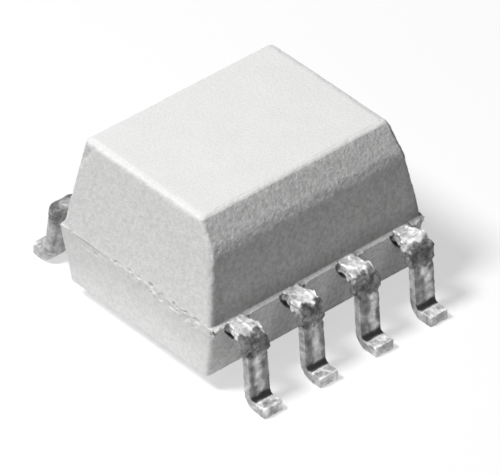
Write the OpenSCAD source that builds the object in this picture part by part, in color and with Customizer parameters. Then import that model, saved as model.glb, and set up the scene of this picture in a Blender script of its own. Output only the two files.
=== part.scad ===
// White surface-mount optocoupler in an eight-lead small-outline package.
// Frame: origin on the seating plane midway between the toes and the ends, +Z up, lead
// rows along Y, pin 1 at -X +Y (upper left seen from above). Millimetres and degrees.

/* [Moulded body] */
// Distance from the middle of the outer leads to the ends of the body
end_margin = 0.535; // [0.45:0.005:0.7]
// Body width at the parting plane, across the lead rows (upper half)
body_wid = 3.9; // [3.7:0.01:4.1]
// Height of the lower half, from the underside to the parting plane
lower_h = 1.17; // [1.0:0.01:1.4]
// Height of the upper half below the bevel
main_h = 1.33; // [1.1:0.01:1.6]
// Height of the pin-one bevel
bevel_h = 0.55; // [0.3:0.01:0.7]
// Run of the pin-one bevel across the top
bevel_run = 0.36; // [0.2:0.01:0.6]
// Draft angle of the long sides, upper half
side_draft = 9; // [3:0.5:12]
// Draft angle of the end faces, upper half
end_draft = 9.3; // [3:0.1:12]
// Draft angle of the long sides, lower half
low_side_draft = 11.5; // [3:0.5:14]
// Draft angle of the end faces, lower half
low_end_draft = 2.7; // [1:0.1:10]
// Ledge by which the lower half stands proud of the upper half, each long side
ledge = 0.1; // [0.04:0.01:0.15]
// Radius of the edges around the top
top_r = 0.1; // [0.05:0.01:0.2]
// Radius of the edges around the underside
under_r = 0.06; // [0.03:0.01:0.1]
// Width of the pocket moulded under each lead
pocket_w = 0.46; // [0.3:0.01:0.55]
// Depth of the pocket below the parting plane
pocket_h = 0.45; // [0.3:0.01:0.6]
// Radius at the bottom of the pocket
pocket_r = 0.08; // [0.04:0.01:0.12]
// How far the pocket cuts in behind the foot of the upper half
pocket_in = 0.1; // [0.05:0.01:0.15]

/* [Leads] */
// Lead pitch
pitch = 1.27; // [1.2:0.01:1.4]
// Lead thickness with its plating
lead_t = 0.2; // [0.15:0.01:0.25]
// Width of the leg and foot
lead_w = 0.41; // [0.33:0.01:0.48]
// Width of the shoulder where the dam bar was cut off
dam_w = 0.53; // [0.5:0.01:0.6]
// Length of the narrow neck between the body and the wide shoulder
neck_l = 0.12; // [0.05:0.01:0.15]
// Distance from toe to toe across the part
span = 6.18; // [5.9:0.01:6.3]
// How far the body sits from mid-span towards the row of pins 1 to 4
body_shift = 0.1; // [0:0.01:0.12]
// Standoff between the seating plane and the underside of the body
standoff = 0.33; // [0.1:0.01:0.45]
// Inner radius of both bends in a lead
bend_r = 0.1; // [0.08:0.01:0.15]
// Lean of the legs of pins 1 to 4 away from upright
left_lean = 4.5; // [1:0.5:10]
// Lean of the legs of pins 5 to 8 away from upright
right_lean = 8.5; // [1:0.5:10]
// Flat length of the foot beyond its bend
foot_flat = 0.24; // [0.15:0.01:0.35]
// Length of the wide metal on the leg below the upper bend
dam_drop = 0.14; // [0.05:0.01:0.2]

/* [Lead frame inside the body] */
// Gap between the facing pads of a channel
pad_gap = 0.9; // [0.8:0.01:1.0]
// Pad length across the body
pad_l = 0.9; // [0.8:0.01:1.1]
// Pad width along the body
pad_w = 0.9; // [0.8:0.01:1.0]
// Gap between the pads of the two channels
channel_gap = 0.5; // [0.4:0.01:0.6]
// Gap between a pad and the post beside it
post_gap = 0.15; // [0.1:0.01:0.2]
// Distance from the middle of the body to the inner end of a ramp
ramp_in = 0.75; // [0.7:0.01:0.85]
// Run of the ramp between the lead plane and a pad
ramp_run = 0.5; // [0.4:0.01:0.6]
// Post length across the body, from the inner end of the ramp
post_l = 0.5; // [0.4:0.01:0.6]

/* [Dice, wires and light guides] */
// Side of the square light-emitting die
led_side = 0.3; // [0.2:0.01:0.4]
// Thickness of the light-emitting die
led_t = 0.15; // [0.1:0.01:0.18]
// Side of the square detector die
det_side = 0.5; // [0.4:0.01:0.6]
// Thickness of the detector die
det_t = 0.2; // [0.15:0.01:0.22]
// Thickness of the die-attach film
attach_t = 0.02; // [0.015:0.005:0.03]
// Margin of the die-attach film around its die
attach_m = 0.02; // [0.01:0.005:0.04]
// Bond wire diameter
wire_d = 0.025; // [0.02:0.001:0.035]
// Height of a bond wire's loop above its die
wire_loop = 0.12; // [0.08:0.01:0.15]
// Distance of a wire's bond from the middle of its die, towards the post
bond_off = 0.08; // [0.02:0.01:0.1]
// Distance of a wire's bond from the two inner edges of its post
bond_in = 0.1; // [0.06:0.01:0.12]
// Margin of a light guide around its detector die and its bonds
guide_m = 0.06; // [0.04:0.01:0.08]
// Bulge of a light guide between the pads
guide_bulge = 0.1; // [0.05:0.01:0.12]

/* [Hidden] */
$fn = 64;

// Leads in each row, and the places of the outer and the inner ones
lead_count = 4;
function row_y(k) = ((lead_count - 1) / 2 - k) * pitch;
outer_y = row_y(0);
inner_y = row_y(1);

// Heights above the seating plane
z_part = standoff + lower_h;
z_bevel = z_part + main_h;
z_top = z_bevel + bevel_h;
z_led = z_part + pad_gap / 2;
z_det = z_part - pad_gap / 2;

// Body length, and the widths and lengths that the draft leaves
body_len = 2 * (outer_y + end_margin);
up_side_in = tan(side_draft) * (main_h + bevel_h);
up_end_in = tan(end_draft) * (main_h + bevel_h);
bevel_x = body_wid / 2 - tan(side_draft) * main_h;
low_x = body_wid / 2 + ledge;
low_side_in = tan(low_side_draft) * lower_h;
low_end_in = tan(low_end_draft) * lower_h;

// Gull wing: outer bend radius, straight leg between the bends, and the bend centres at a
// lean, in x from the middle of the body. The toes of the left row are nearer to it.
bend_out = bend_r + lead_t;
c1_z = z_part - lead_t / 2 - bend_r;
function leg_l(lean) = (c1_z - bend_out + sin(lean) * (bend_r + bend_out)) / cos(lean);
function toe_x(left) = span / 2 + (left ? -body_shift : body_shift);
function c2_x(left) = toe_x(left) - foot_flat;
function c1_x(left) = let (lean = left ? left_lean : right_lean)
    c2_x(left) - cos(lean) * (bend_r + bend_out) - sin(lean) * leg_l(lean);

// Pads, posts and bonds of a channel, in the half of the body with +Y
pad_y = channel_gap / 2;
channel_y = pad_y + pad_w / 2;
post_x = ramp_in - post_l;
post_y = pad_y + pad_w + post_gap;
ramp_out = ramp_in + ramp_run;
bond_x = post_x + bond_in;
bond_y = post_y + bond_in;
ball_r = 1.3 * wire_d;

// Light guide: its axis and its end radius, around the die's corners and the bond
guide_y = (bond_y + channel_y - det_side / 2) / 2;
film_r = norm([det_side / 2 + attach_m, guide_y - channel_y + det_side / 2 + attach_m]);
guide_r = guide_m + max(film_r, norm([bond_x, bond_y - guide_y]) + ball_r);

// ---- helpers -----------------------------------------------------------------

function unit(v) = v / norm(v);
function turn(a, b, c) = acos(unit(a - b) * unit(c - b));

// Convex outline with its own radius at each corner, 0 for a sharp one
module rounded(p, r) {
    n = len(p);
    polygon([for (i = [0 : n - 1])
        let (a = p[(i + n - 1) % n], b = p[i], c = p[(i + 1) % n],
             l = r[i] / tan(turn(a, b, c) / 2))
        each r[i] > 0 ? [b + unit(a - b) * l, b + unit(c - b) * l] : [b]]);
    for (i = [0 : n - 1]) if (r[i] > 0)
        let (a = p[(i + n - 1) % n], b = p[i], c = p[(i + 1) % n])
        translate(b + unit(unit(a - b) + unit(c - b)) * r[i] / sin(turn(a, b, c) / 2))
            circle(r[i]);
}

// An outline in X and Z drawn along Y, and an outline in Y and Z drawn along X
module along_y(l) { translate([0, l / 2, 0]) rotate([90, 0, 0]) linear_extrude(l) children(); }
module along_x(l) {
    translate([-l / 2, 0, 0]) rotate([90, 0, 90]) linear_extrude(l) children();
}

// Everything is drawn about the middle of the body and then moved to its place
module place() { translate([-body_shift, 0, 0]) children(); }

// Channel 1 is in the half with +Y and channel 2 is its mirror image
module channel(c) { if (c == 1) children(); else mirror([0, 1, 0]) children(); }

// ---- moulded body ------------------------------------------------------------

module upper_half() {
    hw = body_wid / 2;
    hl = body_len / 2;
    intersection() {
        along_y(2 * body_len) rounded(
            [[-hw, z_part], [hw, z_part], [hw - up_side_in, z_top],
             [-bevel_x + bevel_run, z_top], [-bevel_x, z_bevel]],
            [0, 0, top_r, top_r, top_r]);
        along_x(2 * body_wid) rounded(
            [[-hl, z_part], [hl, z_part], [hl - up_end_in, z_top], [-hl + up_end_in, z_top]],
            [0, 0, top_r, top_r]);
    }
}

module lower_half() {
    hl = body_len / 2;
    difference() {
        intersection() {
            along_y(2 * body_len) rounded(
                [[-low_x, z_part], [-low_x + low_side_in, standoff],
                 [low_x - low_side_in, standoff], [low_x, z_part]],
                [0, under_r, under_r, 0]);
            along_x(2 * body_wid) rounded(
                [[-hl, z_part], [-hl + low_end_in, standoff],
                 [hl - low_end_in, standoff], [hl, z_part]],
                [0, under_r, under_r, 0]);
        }
        for (s = [-1, 1], k = [0 : lead_count - 1]) pocket(s, row_y(k));
    }
}

// Pocket in the ledge, narrowing downwards, that leaves the underside of a neck clear
module pocket(side, y) {
    reach = ledge + pocket_in;
    translate([side * (low_x + pocket_w / 2 - reach), y, 0]) along_x(pocket_w) rounded(
        [[-pocket_w / 2, z_part + pocket_h], [-pocket_w / 2, z_part - lead_t / 2],
         [0, z_part - pocket_h],
         [pocket_w / 2, z_part - lead_t / 2], [pocket_w / 2, z_part + pocket_h]],
        [0, 0, pocket_r, 0, 0]);
}

module mould_body() {
    color("WhiteSmoke") place() difference() {
        union() { upper_half(); lower_half(); }
        for (i = [1 : 2 * lead_count]) lead_metal(i);
        for (c = [1, 2]) channel(c) guide_blank();
    }
}

// ---- leads -------------------------------------------------------------------

// Place across the row, at height z, of the leg's face at distance r from its upper bend's
// centre: bend_out for the outer face and bend_r for the inner one
function leg_x(left, r, z) = let (lean = left ? left_lean : right_lean)
    c1_x(left) + (r + (c1_z - z) * sin(lean)) / cos(lean);

// Space under one face of the gull wing, in x and z: its shoulder at height z1, its leg with
// radius r1 at the shoulder, and its foot at height z2 with radius r2 where the leg meets it
module under_face(left, x0, x1, z1, r1, z2, r2, deep) {
    lean = left ? left_lean : right_lean;
    c2 = [c2_x(left), bend_out];
    heel = [leg_x(left, r1, z2), z2];
    rounded([[x0, z1], [leg_x(left, r1, z1), z1], [leg_x(left, r1, -deep), -deep], [x0, -deep]],
        [0, r1, 0, 0]);
    translate([x0, -deep]) square([x1 - x0, deep + z2]);
    difference() {
        polygon([c2 - r2 * [cos(lean), sin(lean)], heel - [lead_t, lead_t] / 2, c2 - [0, r2]]);
        translate(c2) circle(r2);
    }
}

// Gull wing from x0 to the toe
module wing_outline(left, x0) {
    difference() {
        under_face(left, x0, toe_x(left), z_part + lead_t / 2, bend_out, lead_t, bend_r, lead_t);
        under_face(left, x0 - lead_t, toe_x(left) + lead_t, z_part - lead_t / 2, bend_r,
            0, bend_out, 2 * lead_t);
    }
}

// The part of the gull wing that is as wide as the dam bar left it
module dam_outline(left, x0) {
    lean = left ? left_lean : right_lean;
    cut = [c1_x(left), c1_z] + dam_drop * [sin(lean), -cos(lean)];
    high = z_part + lead_t;
    intersection() {
        wing_outline(left, x0);
        polygon([[x0, high], [span, high], cut + span * [cos(lean), sin(lean)], cut,
            [x0, z_part - lead_t]]);
    }
}

// Strip inside the body that rises by dz from the lead plane to x0
module ramp_outline(x0, dz) {
    s = sign(dz);
    h = abs(dz);
    t = lead_t / 2;
    k = lead_t * tan(atan(h / ramp_run) / 2);
    x1 = body_wid / 2;
    translate([0, z_part]) polygon([
        [x1, -s * t], [ramp_out, -s * t], [ramp_in, s * (h - t)], [x0, s * (h - t)],
        [x0, s * (h + t)], [ramp_in + k, s * (h + t)], [ramp_out + k, s * t], [x1, s * t]]);
}

// A lead of the left or the right row, drawn in the quadrant with +X and +Y. The left row
// carries the emitters on the upper frame, the right row the detectors on the lower one.
module quadrant_lead(left, post) {
    y = post ? outer_y : inner_y;
    z0 = left ? z_led : z_det - lead_t;
    translate([0, y, 0]) {
        along_y(lead_w) {
            ramp_outline(post ? post_x : 0, (left ? 1 : -1) * (pad_gap + lead_t) / 2);
            wing_outline(left, ramp_out + ramp_run / 2);
        }
        along_y(dam_w) dam_outline(left, low_x + neck_l);
    }
    if (post) translate([post_x, post_y, z0])
        cube([post_l, outer_y + lead_w / 2 - post_y, lead_t]);
    else translate([-pad_l / 2, pad_y, z0]) cube([pad_l, pad_w, lead_t]);
}

// Lead of pin i. Pins 1 to 4 run down the left row, pins 5 to 8 up the right row.
module lead_metal(i) {
    left = i <= lead_count;
    k = left ? i - 1 : 2 * lead_count - i;
    post = k == 0 || k == lead_count - 1;
    channel(row_y(k) > 0 ? 1 : 2) {
        if (left) mirror([1, 0, 0]) quadrant_lead(true, post);
        else quadrant_lead(false, post);
    }
}

module lead(i) { color("Silver") place() lead_metal(i); }

// ---- dice and die-attach films -------------------------------------------------

module tile(side, t, z0) {
    translate([-side / 2, channel_y - side / 2, z0]) cube([side, side, t]);
}

module led_attach() { tile(led_side + 2 * attach_m, attach_t, z_led - attach_t); }
module led_die() { tile(led_side, led_t, z_led - attach_t - led_t); }
module detector_attach() { tile(det_side + 2 * attach_m, attach_t, z_det); }
module detector_die() { tile(det_side, det_t, z_det + attach_t); }

// ---- bond wires ----------------------------------------------------------------

// Steps along a wire and its radius there: a ball on the die and a stitch on the post
wire_steps = [0, 0.07, 0.2, 0.32, 0.44, 0.56, 0.68, 0.8, 0.93, 1];
wire_sides = 8;
function wire_r(i) = i == 0 || i == len(wire_steps) - 1 ? ball_r : wire_d / 2;

// Point and direction at step s of a loop from a to b that leaves both faces upright
function loop_h(a, b) = wire_loop + abs(b[2] - a[2]) / 2;
function loop_at(a, b, up, s) = [
    a[0] + (b[0] - a[0]) * (1 - cos(180 * s)) / 2,
    a[1] + (b[1] - a[1]) * (1 - cos(180 * s)) / 2,
    a[2] + (b[2] - a[2]) * s + up * loop_h(a, b) * sin(180 * s)];
function loop_dir(a, b, up, s) = unit([
    (b[0] - a[0]) * PI * sin(180 * s) / 2,
    (b[1] - a[1]) * PI * sin(180 * s) / 2,
    (b[2] - a[2]) + up * loop_h(a, b) * PI * cos(180 * s)]);

module wire(a, b, up) {
    n = len(wire_steps);
    m = wire_sides;
    across = unit([a[1] - b[1], b[0] - a[0], 0]);
    rings = [for (i = [0 : n - 1])
        let (s = wire_steps[i], d = loop_dir(a, b, up, s), v = cross(d, across))
        for (j = [0 : m - 1]) loop_at(a, b, up, s)
            + wire_r(i) * (cos(360 * j / m) * across + sin(360 * j / m) * v)];
    polyhedron(rings, concat(
        [[for (j = [0 : m - 1]) j]],
        [[for (j = [m - 1 : -1 : 0]) (n - 1) * m + j]],
        [for (i = [0 : n - 2], j = [0 : m - 1]) let (p = i * m + j, q = i * m + (j + 1) % m)
            each [[p, p + m, q + m], [p, q + m, q]]]));
}

// Plan position of a bond on a die, towards the bond on the post at x
function die_bond(x) = [0, channel_y] + bond_off * unit([x, bond_y - channel_y]);

module led_wire() {
    p = die_bond(-bond_x);
    wire([p[0], p[1], z_led - attach_t - led_t], [-bond_x, bond_y, z_led], -1);
}

module detector_wire() {
    p = die_bond(bond_x);
    wire([p[0], p[1], z_det + attach_t + det_t], [bond_x, bond_y, z_det], 1);
}

// ---- light guides --------------------------------------------------------------

// Barrel of clear silicone that fills the space between the facing pads
module guide_blank() {
    h = pad_gap / 2;
    arc_r = (h * h + guide_bulge * guide_bulge) / (2 * guide_bulge);
    translate([0, guide_y, z_part]) rotate_extrude() intersection() {
        translate([guide_r + guide_bulge - arc_r, 0]) circle(arc_r, $fn = 256);
        translate([0, -h]) square([guide_r + guide_bulge, 2 * h]);
    }
}

module light_guide() {
    difference() {
        guide_blank();
        led_attach();
        led_die();
        led_wire();
        detector_attach();
        detector_die();
        detector_wire();
    }
}

mould_body();
lead(1);  // lead_1
lead(2);  // lead_2
lead(3);  // lead_3
lead(4);  // lead_4
lead(5);  // lead_5
lead(6);  // lead_6
lead(7);  // lead_7
lead(8);  // lead_8
color("Firebrick") place() channel(1) led_die();  // led_die_1
color("Firebrick") place() channel(2) led_die();  // led_die_2
color("SlateGray") place() channel(1) detector_die();  // detector_die_1
color("SlateGray") place() channel(2) detector_die();  // detector_die_2
color("LightGray") place() channel(1) led_attach();  // led_attach_1
color("LightGray") place() channel(2) led_attach();  // led_attach_2
color("LightGray") place() channel(1) detector_attach();  // detector_attach_1
color("LightGray") place() channel(2) detector_attach();  // detector_attach_2
color("Gold") place() channel(1) led_wire();  // led_wire_1
color("Gold") place() channel(2) led_wire();  // led_wire_2
color("Gold") place() channel(1) detector_wire();  // detector_wire_1
color("Gold") place() channel(2) detector_wire();  // detector_wire_2
color("LightCyan") place() channel(1) light_guide();  // light_guide_1
color("LightCyan") place() channel(2) light_guide();  // light_guide_2
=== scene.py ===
"""The looks of a white eight-lead small-outline chip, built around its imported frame."""

import math
from types import SimpleNamespace

import bpy
import numpy as np
from mathutils import Matrix, Vector


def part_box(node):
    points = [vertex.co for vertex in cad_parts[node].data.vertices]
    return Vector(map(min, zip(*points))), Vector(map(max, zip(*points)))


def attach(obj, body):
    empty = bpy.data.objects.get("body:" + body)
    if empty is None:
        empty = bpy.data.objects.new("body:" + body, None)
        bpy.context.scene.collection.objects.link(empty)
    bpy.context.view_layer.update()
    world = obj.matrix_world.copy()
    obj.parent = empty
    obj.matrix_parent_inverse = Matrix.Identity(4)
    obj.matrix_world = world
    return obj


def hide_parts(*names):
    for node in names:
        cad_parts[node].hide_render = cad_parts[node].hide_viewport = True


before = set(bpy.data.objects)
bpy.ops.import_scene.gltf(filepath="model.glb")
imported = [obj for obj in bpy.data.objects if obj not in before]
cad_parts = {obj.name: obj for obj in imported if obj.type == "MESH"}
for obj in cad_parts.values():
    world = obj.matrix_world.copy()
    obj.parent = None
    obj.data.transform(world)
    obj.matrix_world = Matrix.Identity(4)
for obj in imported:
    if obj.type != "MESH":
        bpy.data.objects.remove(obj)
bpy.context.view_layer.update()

# The part's own sizes in millimetres, about the middle of the body
MM = 0.001
BODY_X = -0.10  # middle of the body
Z_LOW, Z_PART, Z_BEVEL, Z_TOP = 0.33, 1.50, 2.83, 3.38
HALF_W, HALF_L, LEDGE = 1.95, 2.44, 0.10
BEVEL_RUN = 0.36
SIDE_DRAFT, END_DRAFT = math.radians(9.0), math.radians(9.3)
LOW_SIDE_DRAFT, LOW_END_DRAFT = math.radians(11.5), math.radians(2.7)
POCKET_IN, NECK_HALF = 0.10, 0.19
PITCH, SPAN, LEAD_T, LEAD_HALF, DAM_HALF = 1.27, 6.18, 0.20, 0.205, 0.265
BEND_R, FOOT_FLAT = 0.10, 0.24
LEFT_LEAN, RIGHT_LEAN = math.radians(4.5), math.radians(8.5)
ROWS = [1.5 * PITCH, 0.5 * PITCH, -0.5 * PITCH, -1.5 * PITCH]

# Roundings of the moulded skin: top edge, edge under the bevel, underside, corners, ledge ends
TOP_R, BEVEL_R, LOW_R, CORNER_R, LEDGE_END_R = 0.10, 0.65, 0.06, 0.08, 0.16
# The +X leads bend more softly at the top; each row's shoulders sag by this much
SOFT_BEND_R, NEAR_SAG, FAR_SAG = 0.20, 0.10, 0.07
# Course of the mould's parting line across the +Y end, and the pits torn along it (x, z, radius)
LINE_X = (-1.97, -1.51, -0.69, -0.40, 0.52, 0.98, 1.27, 1.50, 1.95)
LINE_Z = (1.55, 1.52, 1.49, 1.53, 1.50, 1.38, 1.33, 1.50, 1.52)
PITS = ((0.52, 1.50, 0.035), (-0.40, 1.54, 0.045), (-0.69, 1.50, 0.045), (0.16, 1.53, 0.03),
        (-0.10, 1.53, 0.026), (-1.00, 1.50, 0.032), (-1.32, 1.50, 0.030), (1.05, 1.37, 0.03))
# Smudges on the -X wall: y, z, half sizes along each, strength
SMUDGES = ((2.12, 1.98, 0.05, 0.16, 0.30), (2.16, 2.22, 0.03, 0.06, 0.22))

# Stage, in metres: lamps at (place, size, power), and the camera
KEY = ((0.0180, 0.0576, 0.1038), 0.032, 0.172)
FILL = ((-0.115, -0.030, 0.020), 0.060, 0.0085)
AZIMUTH, ELEVATION = math.radians(228.647), math.radians(37.648)
DISTANCE, LENS, SENSOR = 0.125, 517.9, 36.0
VIEW_RIGHT, VIEW_UP = 0.137 * MM, 0.877 * MM  # where the view is centred, from the body's middle


# ---- noise and mesh helpers --------------------------------------------------

def smooth(a, b, x):
    """0 below a, 1 above b, smooth between them; a may be above b."""
    t = np.clip((np.asarray(x, float) - a) / (b - a), 0, 1)
    return t * t * (3 - 2 * t)


def noise(p, size, seed=0):
    """Value noise from -1 to 1 at the points p (... x 3), with cells of that size."""
    q = np.asarray(p, float) / size + 1000.0
    cell = np.floor(q).astype(np.int64)
    f = q - cell
    f = f * f * f * (f * (f * 6 - 15) + 10)
    total = np.zeros(q.shape[:-1])
    for corner in range(8):
        o = np.array([corner & 1, corner >> 1 & 1, corner >> 2 & 1])
        c = cell + o
        h = (c[..., 0] * 73856093 ^ c[..., 1] * 19349663 ^ c[..., 2] * 83492791 ^ (seed * 2654435761)) & 0xFFFFFFFF
        h = ((h ^ h >> 15) * 2246822519) & 0xFFFFFFFF
        h = ((h ^ h >> 13) * 3266489917) & 0xFFFFFFFF
        h = h ^ h >> 16
        weight = np.prod(np.where(o, f, 1 - f), axis=-1)
        total += weight * (h / 2147483648.0 - 1)
    return total


def fractal(p, size, seed=0, octaves=3):
    """Sum of noise at falling sizes."""
    return sum(noise(p, size / 2**k, seed + 17 * k) / 1.7**k for k in range(octaves))


def crumple(p, size, seed=0, octaves=3):
    """Sharp folds: noise folded about zero, from about 0 to 1."""
    return sum((1 - np.abs(noise(p, size / 2**k, seed + 29 * k)) * 2) / 1.9**k for k in range(octaves)) / 2


def grid_mesh(name, rings, attributes, material):
    """A closed skin over rings (stations x points x 3, in mm), each end closed by a fan."""
    n, m = rings.shape[:2]
    ends = np.array([rings[0].mean(0), rings[-1].mean(0)])
    verts = np.vstack([rings.reshape(-1, 3), ends]) * MM
    i, j = np.meshgrid(np.arange(n - 1), np.arange(m), indexing="ij")
    a, b = i * m + j, i * m + (j + 1) % m
    faces = np.stack([a, b, b + m, a + m], -1).reshape(-1, 4).tolist()
    for j in range(m):
        faces.append([n * m, (j + 1) % m, j])
        faces.append([n * m + 1, (n - 1) * m + j, (n - 1) * m + (j + 1) % m])
    mesh = bpy.data.meshes.new(name)
    mesh.from_pydata(verts.tolist(), [], faces)
    mesh.shade_smooth()
    for key, values in attributes.items():
        full = np.concatenate([np.asarray(values, float).reshape(-1), [values[0].mean(), values[-1].mean()]])
        mesh.attributes.new(key, "FLOAT", "POINT").data.foreach_set("value", full.astype(np.float32))
    mesh.materials.append(material)
    piece = bpy.data.objects.new(name, mesh)
    bpy.context.scene.collection.objects.link(piece)
    return piece


def skin(name, node, points, attributes, material):
    """The mesh of a piece that takes a node's place, kept inside that node's box."""
    points = points + [BODY_X, 0, 0]
    low, high = (np.array(corner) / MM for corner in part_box(node))
    return grid_mesh(name, np.clip(points, low, high), attributes, material)


def normals(rings):
    """Outward unit normals of a grid of rings."""
    along = np.gradient(rings, axis=0)
    around = np.roll(rings, -1, 1) - np.roll(rings, 1, 1)
    n = np.cross(around, along)
    return n / np.maximum(np.linalg.norm(n, axis=-1, keepdims=True), 1e-9)


# ---- materials ---------------------------------------------------------------

def new_material(name, **values):
    material = bpy.data.materials.new(name)
    material.use_nodes = True
    shader = material.node_tree.nodes["Principled BSDF"]
    for key, value in values.items():
        shader.inputs[key].default_value = value
    return material, material.node_tree, shader


def add(tree, kind, **values):
    """Adds a node; values set its properties, or its inputs by name or number."""
    node = tree.nodes.new(kind)
    for key, value in values.items():
        if hasattr(node, key):
            setattr(node, key, value)
        else:
            node.inputs[key.replace("_", " ")].default_value = value
    return node


def noise_node(tree, coords, scale, detail=2.0, roughness=0.5):
    node = add(tree, "ShaderNodeTexNoise", Scale=scale, Detail=detail, Roughness=roughness)
    tree.links.new(coords, node.inputs["Vector"])
    return node.outputs["Fac"]


def ramp(tree, factor, stops):
    """Greys or colours at positions along a factor."""
    node = tree.nodes.new("ShaderNodeValToRGB")
    elements = node.color_ramp.elements
    while len(elements) < len(stops):
        elements.new(0.5)
    for element, (place, colour) in zip(elements, stops):
        element.position = place
        element.color = (colour, colour, colour, 1) if isinstance(colour, float) else (*colour, 1)
    tree.links.new(factor, node.inputs["Fac"])
    return node.outputs["Color"]


def mix(tree, kind, factor, a, b):
    """Mixes two colours; factor is a number or a socket."""
    node = add(tree, "ShaderNodeMix", data_type="RGBA", blend_type=kind)
    for key, value in (("Factor", factor), ("A", a), ("B", b)):
        socket = next(s for s in node.inputs if s.name == key and s.enabled)
        if isinstance(value, bpy.types.NodeSocket):
            tree.links.new(value, socket)
        else:
            socket.default_value = value
    return next(s for s in node.outputs if s.enabled)


def bump(tree, shader, height, distance, strength=1.0):
    node = add(tree, "ShaderNodeBump", Distance=distance, Strength=strength)
    tree.links.new(height, node.inputs["Height"])
    if shader.inputs["Normal"].is_linked:
        tree.links.new(shader.inputs["Normal"].links[0].from_socket, node.inputs["Normal"])
    tree.links.new(node.outputs["Normal"], shader.inputs["Normal"])


def epoxy_material():
    """White filled epoxy: a matt grain that is finer on the top, darkened towards black for smudges and for
    painted shade in the pockets, the pits and above the -X ledge.
    """
    material, tree, shader = new_material("white_epoxy", Roughness=0.78)
    shader.inputs["Specular IOR Level"].default_value = 0.3
    coords = add(tree, "ShaderNodeTexCoord").outputs["Object"]
    coarse = add(tree, "ShaderNodeAttribute", attribute_name="coarse").outputs["Fac"]
    smudge_and_shade = add(tree, "ShaderNodeAttribute", attribute_name="smudge_and_shade").outputs["Fac"]
    grain = noise_node(tree, coords, 26000, 3.0, 0.62)
    mottle = noise_node(tree, coords, 11000, 3.0, 0.65)
    cloud = noise_node(tree, coords, 1500, 4.0, 0.55)
    colour = ramp(tree, grain, [(0.32, (0.71, 0.71, 0.705)), (0.62, (0.80, 0.80, 0.795))])
    colour = mix(tree, "MULTIPLY", 1.0, colour, ramp(tree, cloud, [(0.3, 0.965), (0.7, 1.0)]))
    colour = mix(tree, "MULTIPLY", coarse, colour, ramp(tree, mottle, [(0.36, 0.76), (0.60, 1.0)]))
    # Near black where there are smudges and where shade is painted in
    colour = mix(tree, "MIX", smudge_and_shade, colour, (0.012, 0.012, 0.012, 1))
    tree.links.new(colour, shader.inputs["Base Color"])
    height = add(tree, "ShaderNodeMath", operation="MULTIPLY")
    tree.links.new(noise_node(tree, coords, 16000, 4.0, 0.6), height.inputs[0])
    tree.links.new(ramp(tree, coarse, [(0.0, 0.45), (1.0, 1.0)]), height.inputs[1])
    bump(tree, shader, height.outputs[0], 0.000014)
    return material


def tin_material():
    """Tin-plated lead: blotchy, with painted shade where the crumpled bends, their cracks and the inner faces are
    dark, and painted highlights where it is bright.
    """
    material, tree, shader = new_material("tinned_lead", Metallic=0.45)
    coords = add(tree, "ShaderNodeTexCoord").outputs["Object"]
    tone_and_shading = add(tree, "ShaderNodeAttribute", attribute_name="tone_and_shading").outputs["Fac"]
    blotch = noise_node(tree, coords, 9000, 3.0, 0.6)
    # The tone carries painted highlights and painted shade besides the tin's blotches
    colour = ramp(tree, tone_and_shading, [(0.0, 0.01), (0.5, 0.28), (1.0, 0.92)])
    colour = mix(tree, "MULTIPLY", 0.8, colour, ramp(tree, blotch, [(0.33, 0.45), (0.52, 0.85), (0.66, 1.0)]))
    tree.links.new(colour, shader.inputs["Base Color"])
    tree.links.new(ramp(tree, noise_node(tree, coords, 14000, 2.0), [(0.3, 0.44), (0.7, 0.60)]),
                   shader.inputs["Roughness"])
    bump(tree, shader, noise_node(tree, coords, 12000, 3.0, 0.6), 0.000005)
    return material


def inner_material(name, low, high, scale, **values):
    """Finish of a piece sealed inside the body: a colour that wanders between two."""
    material, tree, shader = new_material(name, **values)
    coords = add(tree, "ShaderNodeTexCoord").outputs["Object"]
    field = noise_node(tree, coords, scale, 3.0, 0.6)
    tree.links.new(ramp(tree, field, [(0.35, low), (0.65, high)]), shader.inputs["Base Color"])
    bump(tree, shader, field, 0.000002)
    return material


EPOXY = epoxy_material()
TIN = tin_material()
INNER = {
    "led_die": inner_material("gallium_arsenide", (0.16, 0.12, 0.14), (0.28, 0.22, 0.24), 9000,
                              Roughness=0.2),
    "detector_die": inner_material("silicon", (0.10, 0.12, 0.17), (0.20, 0.23, 0.30), 7000,
                                   Roughness=0.15),
    "attach": inner_material("silver_epoxy", (0.48, 0.48, 0.48), (0.70, 0.70, 0.70), 30000,
                             Roughness=0.6),
    "wire": inner_material("gold_wire", (0.85, 0.62, 0.22), (0.95, 0.74, 0.32), 20000,
                           Metallic=1.0, Roughness=0.25),
    "light_guide": inner_material("clear_silicone", (0.90, 0.94, 0.95), (0.97, 0.98, 0.98), 3000,
                                  Roughness=0.12, IOR=1.41, **{"Transmission Weight": 0.9}),
}
for node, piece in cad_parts.items():
    for key, material in INNER.items():
        if key in node:
            piece.data.materials.clear()
            piece.data.materials.append(material)


# ---- moulded body ------------------------------------------------------------

def rounded_profile(z, points, radii):
    """Half width at heights z of a polyline that rises through points (x, z), its corners
    rounded; the last corner is at the top and turns to level."""
    z = np.asarray(z, float)
    x = np.interp(z, [p[1] for p in points], [p[0] for p in points])
    for k in range(1, len(points)):
        corner, r = np.array(points[k]), radii[k]
        if r <= 0:
            continue
        into = corner - np.array(points[k - 1])
        out = np.array([-1.0, 0.0]) if k == len(points) - 1 else np.array(points[k + 1]) - corner
        into, out = into / np.linalg.norm(into), out / np.linalg.norm(out)
        turn = math.acos(np.clip(into @ out, -1, 1))
        reach = r * math.tan(turn / 2)
        centre = corner - into * reach + r * np.array([-into[1], into[0]])
        low, high = (corner - into * reach)[1], (corner + out * reach)[1]
        on_arc = (z >= low) & (z <= high + 1e-9)
        x = np.where(on_arc, centre[0] + np.sqrt(np.maximum(r * r - (z - centre[1])**2, 0)), x)
    return x


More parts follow.
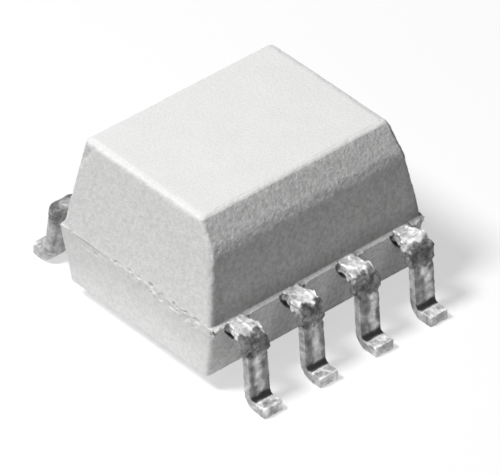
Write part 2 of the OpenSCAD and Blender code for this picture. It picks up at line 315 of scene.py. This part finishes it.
def body_stations():
    """Stations from the underside to the top: height, half widths of the -X, +X sides and
    the ends, and how far each has closed in on the middle of a cap."""
    up_in, end_in = (math.tan(a) * (Z_TOP - Z_PART) for a in (SIDE_DRAFT, END_DRAFT))
    bevel_x = HALF_W - math.tan(SIDE_DRAFT) * (Z_BEVEL - Z_PART)
    low_w, low_l = (w - math.tan(a) * (Z_PART - Z_LOW) for w, a in
                    ((HALF_W + LEDGE, LOW_SIDE_DRAFT), (HALF_L, LOW_END_DRAFT)))
    fillet = Z_TOP - TOP_R + TOP_R * np.sin(np.radians([10, 20, 30, 40, 50, 60, 70, 80, 90]))
    low_z = np.concatenate([np.arange(Z_LOW + 0.08, 0.98, 0.05), np.arange(0.98, Z_PART - 0.021, 0.02)])
    up_z = np.concatenate([np.linspace(Z_PART + 0.02, 1.86, 18), np.linspace(1.90, Z_BEVEL - 0.17, 19),
                           np.linspace(Z_BEVEL - 0.14, Z_BEVEL + 0.13, 19),
                           np.linspace(Z_BEVEL + 0.16, Z_TOP - TOP_R - 0.02, 9), fillet])
    rows = []
    for k in (0.02, 0.2, 0.4, 0.6, 0.8, 0.92, 0.97):
        rows.append((Z_LOW, low_w - LOW_R, low_w - LOW_R, low_l - LOW_R, k))
    for a in np.radians([0, 18, 36, 54, 72, 90]):
        inset = LOW_R * (1 - math.sin(a))
        rows.append((Z_LOW + LOW_R * (1 - math.cos(a)), low_w - inset, low_w - inset, low_l - inset, 1))
    for z in low_z:
        w = HALF_W + LEDGE - math.tan(LOW_SIDE_DRAFT) * (Z_PART - z)
        rows.append((z, w, w, HALF_L - math.tan(LOW_END_DRAFT) * (Z_PART - z), 1))
    outer = HALF_W + LEDGE
    for w, z in ((outer - 0.001, -0.012), (outer - 0.005, -0.004), (outer - 0.014, 0), (outer - 0.035, 0),
                 (outer - 0.06, 0), (outer - 0.078, 0.001), (outer - 0.091, 0.005), (outer - 0.099, 0.012)):
        rows.append((Z_PART + z, w, w, HALF_L, 1))
    bevelled = [(HALF_W, Z_PART), (bevel_x, Z_BEVEL), (bevel_x - BEVEL_RUN, Z_TOP)]
    left = rounded_profile(up_z, bevelled, [0, BEVEL_R, TOP_R])
    right = rounded_profile(up_z, [(HALF_W, Z_PART), (HALF_W - up_in, Z_TOP)], [0, TOP_R])
    ends = rounded_profile(up_z, [(HALF_L, Z_PART), (HALF_L - end_in, Z_TOP)], [0, TOP_R])
    rows += [(z, l, r, e, 1) for z, l, r, e in zip(up_z, left, right, ends)]
    for k in (0.99, 0.97, 0.93, 0.86, 0.76, 0.64, 0.5, 0.36, 0.2, 0.02):
        rows.append((Z_TOP, left[-1], right[-1], ends[-1], k))
    return np.array(rows)


def side_marks():
    """Places along a long side, as shares of its half length, closer near the leads."""
    marks, y = [], -HALF_L + CORNER_R
    while y < HALF_L - CORNER_R:
        marks.append(y)
        near = min(abs(y - row) for row in ROWS)
        y += 0.018 if near < 0.42 or HALF_L - abs(y) < 0.3 else 0.03
    return np.array(marks) / (HALF_L - CORNER_R)


def body_rings():
    stations = body_stations()
    along, across = side_marks(), np.arange(-1, 1, 0.0145)
    arc = np.radians(np.arange(0, 90, 15))
    rings = []
    for z, left, right, end, k in stations:
        r = CORNER_R
        parts = []
        for cx, cy, start in ((right - r, end - r, 0), (-left + r, end - r, 90),
                              (-left + r, -end + r, 180), (right - r, -end + r, 270)):
            a = arc + math.radians(start)
            parts.append(np.column_stack([cx + r * np.cos(a), cy + r * np.sin(a)]))
        ys, xs = along * (end - r), (left + right) / 2 - r
        mid = (right - left) / 2
        sides = [np.column_stack([mid - across * xs, np.full(len(across), end)]),
                 np.column_stack([np.full(len(along), -left), -ys]),
                 np.column_stack([mid + across * xs, np.full(len(across), -end)]),
                 np.column_stack([np.full(len(along), right), ys])]
        ring = np.vstack([parts[0], sides[0], parts[1], sides[1], parts[2], sides[2], parts[3], sides[3]])
        ring = np.array([mid, 0]) + (ring - [mid, 0]) * k
        rings.append(np.column_stack([ring, np.full(len(ring), z)]))
    return np.array(rings), stations


def pocket_half(z):
    """Half width of the pocket under a lead: it narrows downwards and flares at the top."""
    return np.interp(z, [1.04, 1.10, 1.18, 1.26, 1.34, 1.42, 1.50],
                     [0.0, 0.06, 0.13, 0.19, 0.24, 0.28, 0.30])


def cut_pockets(p, g):
    """Pockets under the leads, cut in behind the ledge; gives the depth of the cut."""
    past_wall = np.abs(g.x) - HALF_W
    wall = g.on_side & (g.z < Z_PART - 0.001)
    inside = pocket_half(g.z) - g.dy + 0.01 * noise(g.rings, 0.06, 3)
    cut = (LEDGE + POCKET_IN) * smooth(0.0, 0.022, inside) * wall
    cut = np.minimum(cut, np.maximum(np.abs(g.x) - (HALF_W - POCKET_IN), 0))
    top = g.on_side & (g.z >= Z_PART - 0.001) & (np.abs(g.x) > HALF_W) & (g.z < Z_PART + 0.013)
    cut = np.where(top, smooth(NECK_HALF, NECK_HALF - 0.02, g.dy) * past_wall * 2, cut)
    p[..., 0] -= g.side * cut
    return cut


def shape_ledge(p, g, cut):
    """A ragged outer edge that drops beside the leads and rounds off at the corners."""
    level = g.on_side & (g.z > Z_PART - 0.03) & (g.z < Z_PART + 0.013)
    edge = smooth(HALF_W + 0.01, HALF_W + LEDGE, np.abs(g.x)) * level
    edge = edge * smooth(NECK_HALF, NECK_HALF + 0.02, g.dy)
    from_rows = g.y[..., None] - np.array(ROWS)
    right_of = np.min(np.where(from_rows < 0, np.abs(from_rows), 9), axis=-1)
    beside = smooth(0.42, 0.24, g.dy) * 0.02 + smooth(0.36, 0.22, right_of) * 0.06
    r = LEDGE_END_R
    corner = r - np.sqrt(r**2 - np.clip(r - g.to_end, 0, 0.97 * r)**2)
    wander = np.stack([g.side * 2, g.y, 0 * g.y], -1)
    ragged = 0.012 * (1 + noise(wander, 0.16, 7)) + 0.010 * noise(wander, 0.05, 8)
    p[..., 2] -= edge * (beside + corner + 0.008 * (1 + noise(wander, 0.11, 5)))
    p[..., 0] -= g.side * edge * (ragged + 0.05 * smooth(0.14, 0.0, g.to_end))
    under = g.on_side & (g.z < Z_PART - 0.001) & (g.z > Z_PART - 0.26) & (cut < 0.01)
    limit = Z_PART - (corner + beside) - 0.012
    lowered = np.minimum(p[..., 2], limit + (g.z - Z_PART) * 0.02)
    p[..., 2] = np.where(under & (g.z > limit), lowered, p[..., 2])


def tear_parting_line(p, g):
    """The mould's parting line round the ends: a faint step with pits, and below the near
    half of the +Y end a band of torn burrs; gives the strength of the pits."""
    front = g.y > 0
    flat, along = g.rings * [1, 1, 0], g.rings * [1, 0, 0]
    line = np.where(front, np.interp(g.x, LINE_X, LINE_Z), Z_PART + 0.02 * noise(along, 0.5, 9))
    line = line + 0.022 * fractal(flat, 0.09, 11, 2)
    torn = np.where(front, smooth(0.45, -0.5, g.x), 0.3 + 0.3 * noise(along, 0.8, 12))
    near = np.exp(-((g.z - line) / 0.018)**2)
    faint = 0.35 + 0.65 * smooth(-0.1, 0.5, noise(flat, 0.3, 14))
    step = 0.006 * smooth(line - 0.01, line + 0.02, g.z) * smooth(Z_PART + 0.5, Z_PART + 0.05, g.z)
    deep = smooth(0.0, 0.7, noise(g.rings * [1, 1, 0.3], 0.12, 13))
    groove = near * faint * (0.002 + 0.012 * deep)
    foot = line - (0.10 + 0.10 * smooth(0.2, -1.2, g.x) + 0.03 * noise(along, 0.25, 16))
    band = smooth(line + 0.012, line - 0.02, g.z) * smooth(foot - 0.04, foot + 0.02, g.z) * torn
    burr = band * (0.042 * crumple(g.rings, 0.10, 15, 2) - 0.014)
    pits = np.zeros_like(g.x)
    for px, pz, r in PITS:
        pits += 1.2 * np.exp(-(((g.x - px) / r)**2 + ((g.z - pz) / (r * 0.7))**2)) * front
    inward = (step + groove - burr + 0.034 * pits) * g.on_end
    p[..., 1] -= np.sign(g.y) * inward * smooth(HALF_L - 0.33, HALF_L - 0.28, np.abs(g.y))
    return pits


def wear(p, g):
    """Faint unevenness of the faces and a little wear along the edges."""
    uneven = 0.002 * (1 + fractal(g.rings, 0.05, 21, 2)) + 0.003 * (1 + noise(g.rings, 0.9, 23))
    upright = smooth(0.12, 0.02, g.half_w - np.abs(g.x)) * smooth(0.12, 0.02, g.half_l - np.abs(g.y))
    brow = np.exp(-((g.z - Z_BEVEL) / 0.06)**2) * (g.x < 0) * g.on_side
    rim = smooth(0.12, 0.03, Z_TOP - g.z) * g.walls
    worn = np.maximum.reduce([upright * (g.z > Z_LOW + 0.1) * 2.5, brow, rim])
    uneven = uneven + worn * (0.004 * (1 + fractal(g.rings, 0.13, 27, 2)))
    p -= normals(p) * (uneven * g.walls)[..., None]


def body_smudge_and_shade(g, cut, pits):
    """Painted shade in the pockets under the leads, real smudges on the -X wall, painted shade just above the -X
    ledge, and painted shade in the pits.
    """
    smudges = np.zeros_like(g.x)
    for cy, cz, ry, rz, strength in SMUDGES:
        spot = np.exp(-(((g.y - cy) / ry)**2 + ((g.z - cz) / rz)**2))
        smudges += strength * spot * (g.x < -HALF_W + 0.4)
    smudges = smudges * (0.6 + 0.4 * noise(g.rings, 0.05, 25))
    # Painted shade deep in the pockets under the leads
    pocket_shade = smooth(0.02, 0.12, cut) * (g.z < Z_PART + 0.01) * 0.80
    # Painted shade on the -X wall, darker towards the ledge
    shade_above_ledge = smooth(1.95, 1.50, g.z) * (g.z > Z_PART + 0.013) * g.on_side * (g.x < 0) * 0.26
    # Painted shade in the pits of the parting line
    return np.clip(pocket_shade + smudges + 0.16 * np.minimum(pits, 1) * g.on_end + shade_above_ledge, 0, 1)


def make_body():
    rings, stations = body_rings()
    x, y, z = np.moveaxis(rings, -1, 0)
    half_w, half_l, walls = stations[:, 1:2], stations[:, 3:4], stations[:, 4:5] == 1
    g = SimpleNamespace(
        rings=rings, x=x, y=y, z=z, side=np.sign(x), half_w=half_w, half_l=half_l, walls=walls,
        on_side=(np.abs(x) > half_w - 0.02) & walls,
        on_end=(np.abs(y) > HALF_L - 0.32) & walls,
        dy=np.min(np.abs(y[..., None] - np.array(ROWS)), axis=-1),
        to_end=HALF_L - np.abs(y))
    p = rings.copy()
    cut = cut_pockets(p, g)
    shape_ledge(p, g, cut)
    pits = tear_parting_line(p, g)
    wear(p, g)
    # Smudges plus painted shade, which darken the epoxy's colour
    smudge_and_shade = body_smudge_and_shade(g, cut, pits)
    finer = (np.abs(y) > HALF_L - 0.32) & ~g.on_side
    coarse = np.clip(1 - 0.55 * finer - (z > Z_TOP - 0.03), 0, 1)
    return skin("moulded_shell", "mould_body", p, {"smudge_and_shade": smudge_and_shade, "coarse": coarse}, EPOXY)


# ---- leads -------------------------------------------------------------------

def lead_path(lean, rise, start, top_r):
    """Centre line of a lead from its inner end to its toe, in X and Z about the body's
    middle: points, upper-side normals, and marks of where each stretch ends."""
    top_mid, low_mid = top_r + LEAD_T / 2, BEND_R + LEAD_T / 2
    c1_z, c2_z = Z_PART - top_mid, BEND_R + LEAD_T
    toe = SPAN / 2 + (0.1 if rise < 0 else -0.1)
    c2_x = toe - FOOT_FLAT
    leg = (c1_z - c2_z + math.sin(lean) * (top_mid + low_mid)) / math.cos(lean)
    c1_x = c2_x - math.cos(lean) * (top_mid + low_mid) - math.sin(lean) * leg
    points, sides, stretch = [], [], []

    def line(a, b, step, key):
        a, b = np.array(a, float), np.array(b, float)
        d = (b - a) / np.linalg.norm(b - a)
        for t in np.arange(0, np.linalg.norm(b - a) - step * 0.3, step):
            points.append(a + d * t)
            sides.append([-d[1], d[0]])
            stretch.append(key)

    def bend(c, mid, a0, a1, out, key, steps):
        for a in np.linspace(a0, a1, steps, endpoint=False):
            u = np.array([math.cos(a), math.sin(a)])
            points.append(np.array(c) + mid * u)
            sides.append(u * out)
            stretch.append(key)

    line([start, Z_PART + rise], [0.75, Z_PART + rise], 0.05, 0)
    line([0.75, Z_PART + rise], [1.25, Z_PART], 0.05, 1)
    line([1.25, Z_PART], [1.80, Z_PART], 0.05, 2)
    line([1.80, Z_PART], [c1_x, Z_PART], 0.014, 3)
    bend([c1_x, c1_z], top_mid, math.pi / 2, lean, 1, 4, 24)
    d = np.array([math.sin(lean), -math.cos(lean)])
    a = np.array([c1_x, c1_z]) + top_mid * np.array([math.cos(lean), math.sin(lean)])
    line(a, a + d * leg, 0.014, 5)
    bend([c2_x, c2_z], low_mid, math.pi + lean, 1.5 * math.pi, -1, 6, 26)
    line([c2_x, LEAD_T / 2], [toe, LEAD_T / 2], 0.014, 7)
    points.append([toe, LEAD_T / 2])
    sides.append([0, 1])
    stretch.append(7)
    return np.array(points), np.array(sides), np.array(stretch)


def section(low, high, half_t, r):
    """Rounded rectangle from low to high across and 2 half_t thick: points (across, out)
    that start at the middle of the under side and run the same way round at each station."""
    pts = []
    ts = np.linspace(0, 1, 25)[:-1]
    arc = np.radians(np.arange(0, 90, 22.5))
    for (ax, az), (bx, bz), (cx, cz), start, m in (
            ((low + r, -half_t), (high - r, -half_t), (high - r, -half_t + r), -90, 24),
            ((high, -half_t + r), (high, half_t - r), (high - r, half_t - r), 0, 9),
            ((high - r, half_t), (low + r, half_t), (low + r, half_t - r), 90, 24),
            ((low, half_t - r), (low, -half_t + r), (low + r, -half_t + r), 180, 9)):
        t = np.linspace(0, 1, m + 1)[:-1, None]
        pts.append(np.array([ax, az]) + t * np.array([bx - ax, bz - az]))
        a = arc + math.radians(start)
        pts.append(np.column_stack([cx + r * np.cos(a), cz + r * np.sin(a)]))
    return np.vstack(pts)


def solder(drop, part, plain):
    """How far the solder stands out on the outer face: a little on each leg, more in the
    lower bend and on the foot of the plain, solder-dipped row."""
    if plain:
        return 0.015 + 0.05 * float(smooth(1.0, 1.2, drop)) * (part in (5, 6)) + 0.045 * (part >= 7)
    return 0.015 * float(smooth(0.36, 0.42, drop)) * (part in (5, 6)) + 0.006 * (part >= 7)


def lead_rings(row, post, plain, path):
    """Cross sections along a lead, with where each point lies across it (-1 to 1) and out
    towards its upper face (-1 to 1)."""
    sy = 1 if row > 0 else -1
    thick = LEAD_T / 2
    wide = LEAD_HALF + 0.02 if plain else DAM_HALF
    rings, across, out = [], [], []
    for (cx, cz), n, part in zip(*path):
        drop = Z_PART - cz
        u = cx if part <= 3 else 9.0
        half = float(np.interp(u, [1.8, 2.07, 2.16, 2.26, 2.34], [LEAD_HALF, 0.18, 0.19, wide - 0.03, wide]))
        if part >= 4:
            half = wide + (LEAD_HALF - wide) * float(smooth(0.31, 0.38, drop))
        if plain and part >= 6:
            half += 0.02
        if part <= 2:
            half = LEAD_HALF
        low, high = abs(row) - half, abs(row) + half
        if part == 0 and post:
            low, high = 1.30, abs(row) + LEAD_HALF
        if part == 0 and not post and cx < 0.45:
            low, high = 0.25, 1.15
        r = 0.02 if part <= 2 else 0.075 if plain else 0.024
        s = section(low * sy, high * sy, thick, r) if sy > 0 else section(-high, -low, thick, r)
        up = s[:, 1] + (part > 2) * solder(drop, part, plain) * smooth(-0.2, 0.9, s[:, 1] / thick)
        rings.append(np.column_stack([cx + n[0] * up, s[:, 0], cz + n[1] * up]))
        across.append((s[:, 0] - row) / half)
        out.append(s[:, 1] / thick)
    return np.array(rings), np.array(across), np.array(out)


def close_toe(rings, plain):
    """Rings that round the toe and close its face, each set back and shrunk from the last
    section, and how many sections they replace."""
    sharp = ((0.012, 0.03), (0.003, 0.10), (0.0, 0.2), (0.0, 0.4), (0.0, 0.6), (0.0, 0.8), (0.0, 0.97))
    blunt = ((0.10, 0.0), (0.075, 0.04), (0.05, 0.10), (0.03, 0.19), (0.015, 0.31), (0.005, 0.5),
             (0.0, 0.75), (0.0, 0.97))
    kept = len(rings) - (7 if plain else 0)
    toe = rings[-1]
    middle = toe.mean(0)
    extra = []
    for back, shrink in blunt if plain else sharp:
        ring = middle + (toe - middle) * [1, 1 - shrink, 1 - shrink]
        ring[:, 0] -= back
        extra.append(ring)
    return np.array(extra), kept


def crumple_tin(g):
    """Crumpled tin: strong on the shoulder and the upper bend, slight on the leg and foot."""
    shoulder = smooth(1.93, 2.0, g.x) * np.isin(g.part, (3, 4)) * smooth(0.14, 0.02, g.drop)
    elbow = np.isin(g.part, (4, 5)) * smooth(0.02, 0.08, g.drop) * smooth(0.50, 0.34, g.drop)
    leg = np.isin(g.part, (5, 6)) * smooth(0.36, 0.5, g.drop)
    foot = np.isin(g.part, (7, 8)) * 1.0
    calm = 0.25 if g.plain else 1.0
    fold = crumple(g.rings * [1, 0.8, 1], 0.17, g.seed, 2)
    amount = shoulder * (0.050 * fold - 0.022) + elbow * (0.040 * fold + 0.008 * g.lumps - 0.014)
    amount = calm * (amount + leg * 0.006 * g.lumps + foot * (0.010 * g.lumps - 0.002))
    moved = g.rings + normals(g.rings) * amount[..., None]
    edge = smooth(0.75, 1.0, np.abs(g.across)) * np.sign(g.across)
    wobble = 0.018 * noise(g.rings * [1, 0.2, 1], 0.08, g.seed + 5)
    moved[..., 1] += calm * edge * wobble * (shoulder + elbow)
    sag = FAR_SAG * smooth(2.05, 2.5, g.x) if g.plain else NEAR_SAG * smooth(1.75, 1.90, g.x)
    moved[..., 2] -= sag * smooth(0.9, 0.1, g.drop) * (g.part > 2)
    return moved


def tin_tone(g):
    """Tone of the tin, from 0 for black to 1 for bright metal: random blotches, painted highlights on the
    shoulders, down the middle of the leg and at both ends of the foot, painted shade in the upper bend and on the
    inner faces, and painted dark reflections on the leg and along the lower bend.
    """
    outer = smooth(0.3, 0.8, g.out)
    blotch = fractal(g.rings, 0.13, g.seed + 7, 3)
    ripple = 0.05 * fractal(g.rings, 0.12, g.seed + 11, 3)
    ragged, torn = g.drop + ripple, g.run + ripple
    lean = 0.25 * noise(g.rings * [0, 0, 1], 0.2, g.seed + 9)
    # Painted highlight: a lighter streak down the middle of the leg
    streak = smooth(0.65, 0.15, np.abs(g.across - 0.12 * g.sy + lean))
    cracks = 1 - smooth(0.0, 0.16, np.abs(noise(g.rings, 0.09, g.seed + 13)))
    high, rest, core, low = (0.60, 0.62, 0.10, 0.22) if g.plain else (1.0, 0.44, 0.42, 0.14)
    tone_and_shading = 0.68 + 0.14 * blotch
    # Painted dark reflection on the leg's outer face, lifted by the streak
    on_leg = smooth(0.30, 0.44, ragged) * np.isin(g.part, (5, 6)) * (outer > 0.5)
    tone_and_shading = tone_and_shading + on_leg * (rest + core * streak + 0.16 * blotch - tone_and_shading)
    # Painted highlight on the shoulder, with painted shade in the cracks of its inner faces
    bright = smooth(0.14, 0.08, torn) * np.isin(g.part, (3, 4))
    shine = high - 0.25 * smooth(0.3, 0.9, blotch) - 0.3 * cracks * (1 - outer)
    tone_and_shading = tone_and_shading + bright * (shine - tone_and_shading)
    # Painted shade in the upper bend, deeper in its cracks and on its inner faces
    dark = smooth(0.08, 0.14, torn) * smooth(0.44, 0.32, ragged) * np.isin(g.part, (4, 5))
    gloom = (low + 0.208 * (1 + blotch) + 0.16 * (1 - outer)) * (1 - 0.75 * cracks)
    tone_and_shading = tone_and_shading + dark * (gloom - tone_and_shading)
    if g.plain:
        shelf = 0.80 + 0.15 * blotch
    else:
        # Painted highlights at both ends of the foot's top, greyer between them
        middle = smooth(0.03, 0.09, g.to_toe) * smooth(0.23, 0.17, g.to_toe)
        shelf = 0.98 - 0.34 * middle * smooth(-0.6, 0.3, blotch)
        # Painted dark reflection: a near-black band along the outer face of the lower bend
        crease = smooth(0.205, 0.225, g.z) * smooth(0.335, 0.265, g.z + 0.01 * g.lumps) * outer
        tone_and_shading = tone_and_shading * (1 - 0.98 * crease * np.isin(g.part, (5, 6)))
    on_foot = ((g.part == 7) | (g.part == 6) & (g.z < 0.205)) & (outer > 0.5)
    tone_and_shading = np.where(on_foot, shelf, tone_and_shading)
    tone_and_shading = np.where(g.part == 8, 0.76 + 0.16 * blotch, tone_and_shading)
    return np.clip(tone_and_shading, 0.02, 1)


def make_lead(number):
    left = number <= 4
    k = number - 1 if left else 8 - number
    row, post = ROWS[k], k in (0, 3)
    plain = not left  # the +X row is smooth and rounder
    lean, rise, top_r = (LEFT_LEAN, 0.55, BEND_R) if left else (RIGHT_LEAN, -0.55, SOFT_BEND_R)
    path = lead_path(lean, rise, 0.25 if post else -0.45, top_r)
    rings, across, out = lead_rings(row, post, plain, path)
    centre, _, stretch = path

    extra, kept = close_toe(rings, plain)
    rings = np.concatenate([rings[:kept - 1], extra])
    pad = len(extra) - 1
    across, out, centre = (np.concatenate([a[:kept], np.repeat(a[kept - 1:kept], pad, 0)])
                           for a in (across, out, centre))
    stretch = np.concatenate([stretch[:kept], np.full(pad, 8)])
    length = np.concatenate([[0], np.cumsum(np.linalg.norm(np.diff(centre, axis=0), axis=1))])

    def over_rings(values):
        return np.repeat(values[:, None], rings.shape[1], 1)

    seed = 100 * number
    toe = SPAN / 2 + (-0.1 if left else 0.1)
    g = SimpleNamespace(
        rings=rings, x=rings[..., 0], z=rings[..., 2], across=across, out=out, seed=seed, plain=plain,
        sy=1 if row > 0 else -1, part=over_rings(stretch), drop=over_rings(Z_PART - centre[:, 1]),
        run=over_rings(length - length[np.argmax(stretch == 4)]), to_toe=toe - rings[..., 0],
        lumps=fractal(rings, 0.10, seed + 3, 3))
    moved, tone_and_shading = crumple_tin(g), tin_tone(g)
    if left:
        moved = moved[:, ::-1] * [-1, 1, 1]
        tone_and_shading = tone_and_shading[:, ::-1]
    return skin(f"tinned_lead_{number}", f"lead_{number}", moved, {"tone_and_shading": tone_and_shading}, TIN)


body = make_body()
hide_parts("mould_body")
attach(body, "root")
for number in range(1, 9):
    piece = make_lead(number)
    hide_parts(f"lead_{number}")
    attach(piece, "root")


# ---- stage, lights and camera ------------------------------------------------

def seen_directly(tree):
    """1 for camera, glossy and transmission rays, which show the background as white."""
    path = tree.nodes.new("ShaderNodeLightPath")
    total = path.outputs["Is Camera Ray"]
    for kind in ("Is Glossy Ray", "Is Transmission Ray"):
        both = add(tree, "ShaderNodeMath", operation="ADD", use_clamp=True)
        tree.links.new(total, both.inputs[0])
        tree.links.new(path.outputs[kind], both.inputs[1])
        total = both.outputs[0]
    return total


def make_floor():
    bpy.ops.mesh.primitive_plane_add(size=2.0, location=(0, 0, 0))
    floor = bpy.context.object
    floor.name = "floor"
    material, tree, shader = new_material("white_sweep", Roughness=0.9)
    shader.inputs["Specular IOR Level"].default_value = 0.0
    seen = seen_directly(tree)
    placed = add(tree, "ShaderNodeMapping", Location=(0.0018, 0.0, 0.0), Scale=(1.0, 1.4, 0.0))
    tree.links.new(add(tree, "ShaderNodeTexCoord").outputs["Object"], placed.inputs["Vector"])
    away = add(tree, "ShaderNodeVectorMath", operation="LENGTH")
    tree.links.new(placed.outputs[0], away.inputs[0])
    reach = add(tree, "ShaderNodeMapRange", From_Min=0.0055, From_Max=0.0085)
    tree.links.new(away.outputs["Value"], reach.inputs["Value"])
    bounce = ramp(tree, reach.outputs["Result"], [(0.0, 0.95), (1.0, 0.05)])
    tree.links.new(mix(tree, "MIX", seen, bounce, (0.96, 0.96, 0.96, 1)), shader.inputs["Base Color"])
    glow = add(tree, "ShaderNodeEmission", Strength=1.0)
    share = add(tree, "ShaderNodeMath", operation="MULTIPLY")
    tree.links.new(seen, share.inputs[0])
    share.inputs[1].default_value = 0.6
    both = tree.nodes.new("ShaderNodeMixShader")
    tree.links.new(share.outputs[0], both.inputs[0])
    tree.links.new(shader.outputs[0], both.inputs[1])
    tree.links.new(glow.outputs[0], both.inputs[2])
    tree.links.new(both.outputs[0], tree.nodes["Material Output"].inputs["Surface"])
    floor.data.materials.append(material)


def area_lamp(name, place, size, power):
    data = bpy.data.lights.new(name, "AREA")
    data.shape, data.size, data.energy = "DISK", size, power
    lamp = bpy.data.objects.new(name, data)
    lamp.location = place
    lamp.rotation_mode = "QUATERNION"
    lamp.rotation_quaternion = (-Vector(place)).to_track_quat("-Z", "Y")
    bpy.context.scene.collection.objects.link(lamp)


def make_world():
    world = bpy.data.worlds.new("studio")
    bpy.context.scene.world = world
    world.use_nodes = True
    tree = world.node_tree
    background = tree.nodes["Background"]
    colour = mix(tree, "MIX", seen_directly(tree), (0.006, 0.006, 0.006, 1), (1, 1, 1, 1))
    tree.links.new(colour, background.inputs["Color"])


def make_camera():
    """At the photograph's viewing angle, from far enough away for its flat perspective."""
    right = Vector((math.cos(AZIMUTH), math.sin(AZIMUTH), 0))
    level = math.cos(ELEVATION)
    back = Vector((math.sin(AZIMUTH) * level, -math.cos(AZIMUTH) * level, math.sin(ELEVATION)))
    up = back.cross(right)
    data = bpy.data.cameras.new("camera")
    data.sensor_width, data.lens = SENSOR, LENS
    data.clip_start, data.clip_end = 0.01, 10.0
    camera = bpy.data.objects.new("camera", data)
    camera.matrix_world = Matrix((right, up, back)).transposed().to_4x4()
    camera.location = Vector((BODY_X * MM, 0, 0)) + right * VIEW_RIGHT + up * VIEW_UP + back * DISTANCE
    bpy.context.scene.collection.objects.link(camera)
    bpy.context.scene.camera = camera


make_floor()
area_lamp("key", *KEY)
area_lamp("fill", *FILL)
make_world()
make_camera()
bpy.context.scene.view_settings.view_transform = "Standard"
